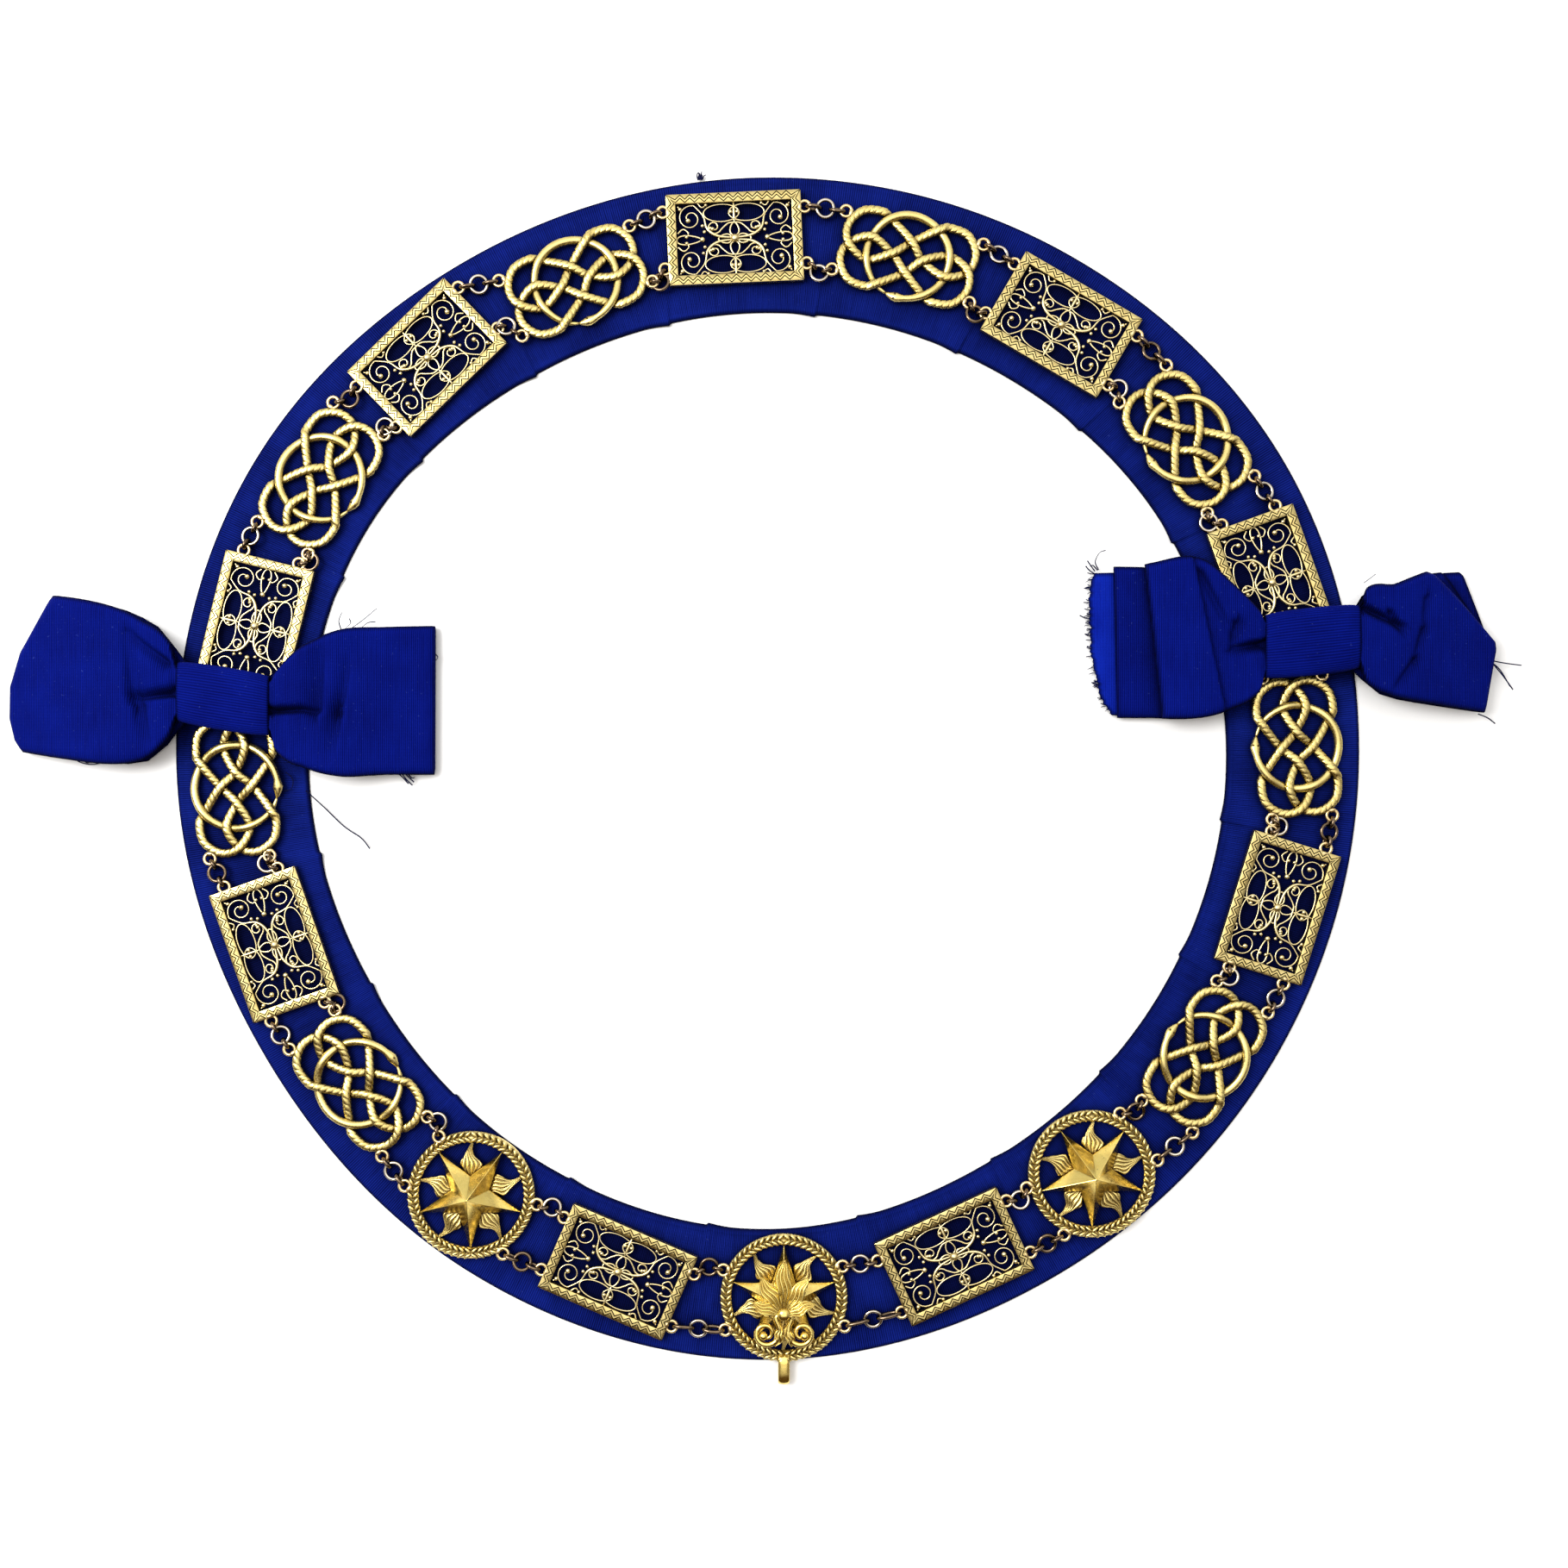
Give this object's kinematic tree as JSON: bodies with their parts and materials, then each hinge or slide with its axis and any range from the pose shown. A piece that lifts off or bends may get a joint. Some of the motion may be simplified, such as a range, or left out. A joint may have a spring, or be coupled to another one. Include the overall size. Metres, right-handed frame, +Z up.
{
  "type": "chain collar",
  "caption": "Ceremonial chain collar laid flat: gilt plates, rope knots and star medallions joined by jump links on a blue ribbon ring, with a ribbon bow on each side and a pendant hook.",
  "frame": {"origin": "centre of the box round the whole collar, on the surface that it lies on", "axes": "+Z up out of the surface, +Y from the middle star and its hook to the top of the collar, +X to the right bow"},
  "size_m": [0.566, 0.4615, 0.0134],
  "materials": {
    "collar_ribbon": "royal-blue ribbed grosgrain ribbon, matt with a soft sheen",
    "bow_ribbon": "royal-blue ribbed grosgrain ribbon, a little brighter than the collar's",
    "gilt": "pale gilt metal, softly polished, darker in its hollows",
    "jump_ring": "tarnished gilt wire, brown with bright tops"
  },
  "bodies": {
    "root": {"ribbon_collar": "collar_ribbon", "plate_01": "gilt", "knot_02": "gilt", "plate_03": "gilt", "knot_04": "gilt", "plate_05": "gilt", "knot_06": "gilt", "plate_07": "gilt", "knot_08": "gilt", "star_09": "gilt", "plate_10": "gilt", "star_11": "gilt", "plate_12": "gilt", "star_13": "gilt", "knot_14": "gilt", "plate_15": "gilt", "knot_16": "gilt", "plate_17": "gilt", "knot_18": "gilt", "plate_19": "gilt", "knot_20": "gilt", "bow_left_band": "bow_ribbon", "bow_left_outer_loop": "bow_ribbon", "bow_left_inner_loop": "bow_ribbon", "bow_right_band": "bow_ribbon", "bow_right_outer_loop": "bow_ribbon", "bow_right_inner_loop": "bow_ribbon"}
  },
  "joints": []
}
